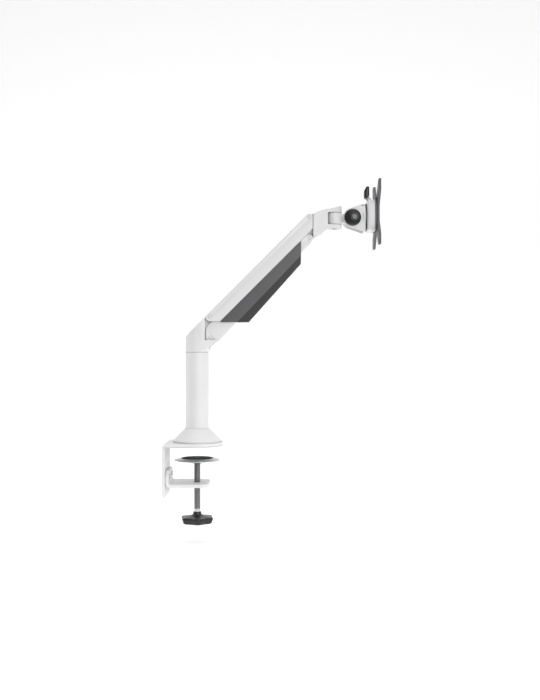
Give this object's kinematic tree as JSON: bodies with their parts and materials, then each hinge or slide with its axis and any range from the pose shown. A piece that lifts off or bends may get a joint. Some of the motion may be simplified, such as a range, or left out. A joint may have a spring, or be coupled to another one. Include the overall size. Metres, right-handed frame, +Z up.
{
  "type": "monitor arm",
  "caption": "Desk-clamped monitor arm: post, parallelogram lift arm balanced by a gas spring, and a swivel, tilt and rotate head with a screen plate.",
  "frame": {"origin": "on the post's axis, in the plane of the desk top, which is the under face of the clamp's upper pad", "axes": "+Z up the post, +X the way the arm reaches at rest, +Y across the arm"},
  "size_m": [0.3888, 0.116, 0.6202],
  "materials": {
    "white_steel": "white powder coat on pressed steel",
    "white_casting": "white powder coat on die-cast aluminium",
    "white_plastic": "white moulded plastic, fine grain",
    "white_tube": "white powder coat on steel tube",
    "grey_cover": "dark grey moulded plastic, fine spark grain",
    "dark_cap": "dark grey moulded plastic, semi-gloss",
    "black_knob": "black glass-filled nylon",
    "dark_washer": "dark friction polymer",
    "dark_plate": "dark grey powder coat on steel",
    "black_screw": "black-oxide steel thread",
    "zinc_steel": "bright zinc-plated steel",
    "rubber_pad": "dark ribbed rubber",
    "foam_pad": "pale grey foam rubber",
    "bush_polymer": "grey acetal",
    "spring_black": "black painted steel tube",
    "bright_rod": "ground chrome rod"
  },
  "bodies": {
    "clamp_base": {"clamp_top_bracket": "white_steel", "desk_pad": "foam_pad", "clamp_lower_jaw": "white_steel", "jaw_bolts": "zinc_steel", "pole_tube": "white_tube", "pole_foot": "zinc_steel", "foot_bolts": "zinc_steel", "base_gasket": "foam_pad", "base_cone_cover": "white_plastic", "pole_top_bush": "bush_polymer", "pole_lower_bush": "bush_polymer", "swivel_washer": "bush_polymer"},
    "clamp_pressure_disc": {"clamp_disc": "zinc_steel", "clamp_disc_pad": "rubber_pad", "clamp_disc_clip": "zinc_steel"},
    "clamp_spindle": {"clamp_screw": "black_screw", "clamp_knob": "black_knob"},
    "shoulder": {"shoulder_casting": "white_casting", "shoulder_spindle": "zinc_steel", "spindle_retainer": "zinc_steel", "spindle_bolt": "zinc_steel", "shoulder_bushes": "bush_polymer", "tension_carriage": "zinc_steel", "spring_anchor_pin": "zinc_steel"},
    "tension_adjuster": {"tension_screw": "zinc_steel"},
    "upper_link": {"upper_link": "white_casting", "upper_link_pins": "zinc_steel", "upper_link_spacers": "bush_polymer", "spring_head_pin": "zinc_steel"},
    "lower_link": {"lower_link": "white_casting", "lower_link_pins": "zinc_steel", "lower_link_washers": "bush_polymer", "lower_cover": "grey_cover"},
    "spring_tube": {"gas_spring_tube": "spring_black", "gas_spring_guide": "bush_polymer"},
    "spring_rod": {"gas_spring_rod": "bright_rod", "gas_spring_piston": "zinc_steel", "gas_spring_eye": "zinc_steel"},
    "head": {"head_casting": "white_casting", "head_bushes": "bush_polymer", "swivel_bolt": "zinc_steel", "swivel_nut": "zinc_steel", "swivel_friction_plates": "bush_polymer"},
    "knuckle": {"swivel_knuckle": "white_casting"},
    "tilt_bracket": {"tilt_bracket": "white_casting", "tilt_friction_washers": "dark_washer", "tilt_bolt": "zinc_steel", "tilt_nut": "zinc_steel", "tilt_cap_far": "dark_cap", "tilt_cap_near": "dark_cap", "rotation_friction_ring": "dark_washer", "rotation_spring_washer": "zinc_steel"},
    "head_block": {"head_block": "white_casting", "rotation_bolt": "zinc_steel"},
    "screen_plate": {"quick_release_adapter": "dark_plate", "vesa_plate": "dark_plate", "adapter_screws": "black_screw"},
    "thumb_screw": {"thumb_screw": "zinc_steel", "thumb_knob": "black_knob"}
  },
  "joints": [
    {"name": "clamp_screw_turn", "type": "hinge", "parent": "clamp_pressure_disc", "child": "clamp_spindle", "pos_m": [0, 0, -0.09], "axis": [0, 0, 1], "range_deg": [-6120, 4320]},
    {"name": "clamp_travel", "type": "slide", "parent": "clamp_base", "child": "clamp_pressure_disc", "axis": [0, 0, 1], "range_m": [-0.0298, 0.0211]},
    {"name": "arm_swivel", "type": "hinge", "parent": "clamp_base", "child": "shoulder", "pos_m": [0, 0, 0.17], "axis": [0, 0, 1], "continuous": true},
    {"name": "arm_lift", "type": "hinge", "parent": "shoulder", "child": "upper_link", "pos_m": [0.025, 0, 0.2355], "axis": [0, 1, 0], "range_deg": [0, 88]},
    {"name": "lower_link_turn", "type": "hinge", "parent": "shoulder", "child": "lower_link", "pos_m": [0.025, 0, 0.1975], "axis": [0, 1, 0], "range_deg": [0, 88]},
    {"name": "head_level", "type": "hinge", "parent": "upper_link", "child": "head", "pos_m": [0.20461, 0, 0.41511], "axis": [0, 1, 0], "range_deg": [-88, 0]},
    {"name": "gas_spring_tilt", "type": "hinge", "parent": "shoulder", "child": "spring_tube", "pos_m": [0.025, 0, 0.2215], "axis": [0, 1, 0], "range_deg": [0, 88]},
    {"name": "gas_spring_stroke", "type": "slide", "parent": "spring_tube", "child": "spring_rod", "axis": [0.7071, 0, 0.7071], "range_m": [-0.0195, 0]},
    {"name": "tension_screw_turn", "type": "hinge", "parent": "shoulder", "child": "tension_adjuster", "pos_m": [0.013, 0, 0.2], "axis": [0, 0, 1], "range_deg": [-1080, 1080]},
    {"name": "head_swivel", "type": "hinge", "parent": "head", "child": "knuckle", "pos_m": [0.25021, 0, 0.41361], "axis": [0, 0, 1], "range_deg": [-80, 80]},
    {"name": "screen_tilt", "type": "hinge", "parent": "knuckle", "child": "tilt_bracket", "pos_m": [0.28201, 0, 0.41361], "axis": [0, 1, 0], "range_deg": [-45, 45]},
    {"name": "screen_rotate", "type": "hinge", "parent": "tilt_bracket", "child": "head_block", "pos_m": [0.30201, 0, 0.41601], "axis": [1, 0, 0], "range_deg": [-90, 90]},
    {"name": "quick_release_slide", "type": "slide", "parent": "head_block", "child": "screen_plate", "axis": [0, 0, 1], "range_m": [0, 0.045]},
    {"name": "thumb_screw_turn", "type": "hinge", "parent": "head_block", "child": "thumb_screw", "pos_m": [0.3113, 0, 0.45021], "axis": [0.7071, 0, -0.7071], "range_deg": [0, 540]}
  ],
  "couplings": [
    {"joint": "clamp_travel", "follows": "clamp_screw_turn", "m_per_rad": 0.00027852},
    {"joint": "lower_link_turn", "follows": "arm_lift", "ratio": 1},
    {"joint": "head_level", "follows": "arm_lift", "ratio": -1},
    {"joint": "gas_spring_tilt", "follows": "arm_lift", "ratio": 0.9904},
    {"joint": "gas_spring_stroke", "follows": "arm_lift", "m_per_rad": -0.012577}
  ]
}
